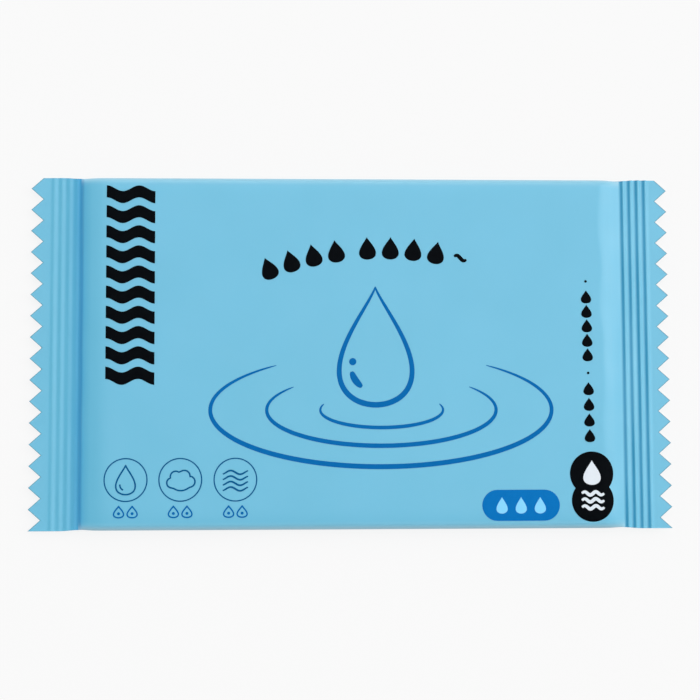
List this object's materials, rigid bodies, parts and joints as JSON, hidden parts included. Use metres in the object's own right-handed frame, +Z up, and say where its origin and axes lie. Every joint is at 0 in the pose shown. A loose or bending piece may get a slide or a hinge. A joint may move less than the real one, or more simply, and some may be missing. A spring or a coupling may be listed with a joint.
{
  "type": "wet wipes pack",
  "caption": "Single-wipe flow-wrapped sachet of pale blue film, with zigzag-cut crimped ends and a fin seal on the back.",
  "frame": {"origin": "centre of the bounding box at the level of the back, which lies on the surface", "axes": "+X along the length from one crimped end to the other, +Y across the width towards the side where both zigzags start in a valley, +Z up out of the printed front"},
  "size_m": [0.1208, 0.0664, 0.0037],
  "materials": {
    "film": "satin printed laminate"
  },
  "bodies": {
    "root": {"wipe_pack": "film"}
  },
  "joints": []
}
